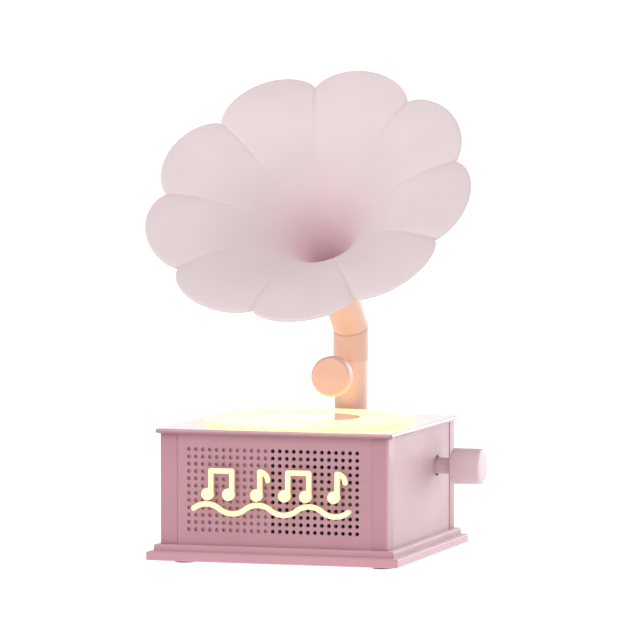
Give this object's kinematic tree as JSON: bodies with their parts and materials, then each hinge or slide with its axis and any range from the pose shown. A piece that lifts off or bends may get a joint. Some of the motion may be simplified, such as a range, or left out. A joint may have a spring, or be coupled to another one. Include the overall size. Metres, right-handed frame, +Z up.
{
  "type": "cylinder music box",
  "caption": "Music box shaped like a horn gramophone: square case with a holed front, luminous platter and winding knob, a spring-driven pinned cylinder inside, petalled horn on a rear pipe.",
  "frame": {"origin": "on the ground under the middle of the whole object's box", "axes": "+Z up, the holed front faces -Y, the winding knob points to +X, the pipe stands at +Y"},
  "size_m": [0.1374, 0.124, 0.2017],
  "materials": {
    "case_pink": "satin",
    "horn_pink": "matte",
    "lid_pink": "gloss",
    "light_plastic": "frosted",
    "label_gloss": "gloss",
    "motif_light": "frosted",
    "foot_rubber": "matte",
    "steel": "brushed",
    "brass": "satin",
    "white_plastic": "satin",
    "dark_plastic": "satin",
    "circuit_board": "satin",
    "cell_jacket": "gloss"
  },
  "bodies": {
    "case": {"base_screws": "steel", "battery_cells": "cell_jacket", "battery_contacts": "steel", "battery_door": "case_pink", "battery_holder": "dark_plastic", "bedplate": "brass", "bracket_screws": "steel", "comb": "steel", "comb_block": "brass", "comb_screws": "steel", "feet": "foot_rubber", "front_grille": "case_pink", "governor_plate": "brass", "grille_backing": "case_pink", "lamps": "white_plastic", "left_panel": "case_pink", "left_plate": "brass", "lid": "lid_pink", "light_board": "circuit_board", "light_tray": "white_plastic", "motif_notes": "motif_light", "motif_wave": "motif_light", "pipe": "case_pink", "pipe_bracket": "case_pink", "plate_pillars": "steel", "platter": "light_plastic", "platter_label": "label_gloss", "plinth": "case_pink", "post_front_left": "case_pink", "post_front_right": "case_pink", "post_rear_left": "case_pink", "post_rear_right": "case_pink", "rear_panel": "case_pink", "right_panel": "case_pink", "right_plate": "brass", "soundbox": "case_pink", "stem_bush": "case_pink", "switch_body": "dark_plastic", "tone_arm": "case_pink"},
    "winder": {"winding_knob": "case_pink", "winding_arbor": "steel", "ratchet_wheel": "steel"},
    "barrel": {"spring_barrel": "brass", "barrel_cap": "brass", "mainspring": "steel"},
    "cylinder": {"pinned_cylinder": "brass", "cylinder_arbor": "steel", "cylinder_pinion": "brass", "cylinder_wheel": "brass"},
    "second": {"second_arbor": "steel", "second_wheel": "brass"},
    "governor": {"fly_arbor": "steel", "fly": "white_plastic"},
    "click": {"click": "steel"},
    "horn": {"elbow": "case_pink", "horn": "horn_pink"},
    "light_switch": {"switch_slider": "dark_plastic"}
  },
  "joints": [
    {"name": "winding_turn", "type": "hinge", "parent": "case", "child": "winder", "pos_m": [0.06088, 0.01522, 0.0371], "axis": [1, 0, 0], "continuous": true},
    {"name": "barrel_turn", "type": "hinge", "parent": "case", "child": "barrel", "pos_m": [0.03288, 0.01522, 0.0371], "axis": [1, 0, 0], "continuous": true},
    {"name": "cylinder_turn", "type": "hinge", "parent": "case", "child": "cylinder", "pos_m": [0.01288, 0.00392, 0.03058], "axis": [1, 0, 0], "continuous": true},
    {"name": "second_turn", "type": "hinge", "parent": "case", "child": "second", "pos_m": [-0.00912, -0.00694, 0.03453], "axis": [1, 0, 0], "continuous": true},
    {"name": "governor_turn", "type": "hinge", "parent": "case", "child": "governor", "pos_m": [-0.01312, -0.01451, 0.02922], "axis": [1, 0, 0], "continuous": true},
    {"name": "click_lift", "type": "hinge", "parent": "case", "child": "click", "pos_m": [0.04228, 0.00712, 0.0423], "axis": [1, 0, 0], "range_deg": [-10, 0], "stiffness_Nm_per_rad": 0.001, "springref_deg": 5},
    {"name": "horn_swivel", "type": "hinge", "parent": "case", "child": "horn", "pos_m": [-0.00112, 0.05192, 0.0778], "axis": [0, 0, 1], "range_deg": [-90, 90]},
    {"name": "switch_slide", "type": "slide", "parent": "case", "child": "light_switch", "axis": [1, 0, 0], "range_m": [0, 0.003]}
  ],
  "couplings": [
    {"joint": "cylinder_turn", "follows": "barrel_turn", "ratio": -3},
    {"joint": "second_turn", "follows": "barrel_turn", "ratio": 10.8},
    {"joint": "governor_turn", "follows": "barrel_turn", "ratio": -38.88}
  ]
}
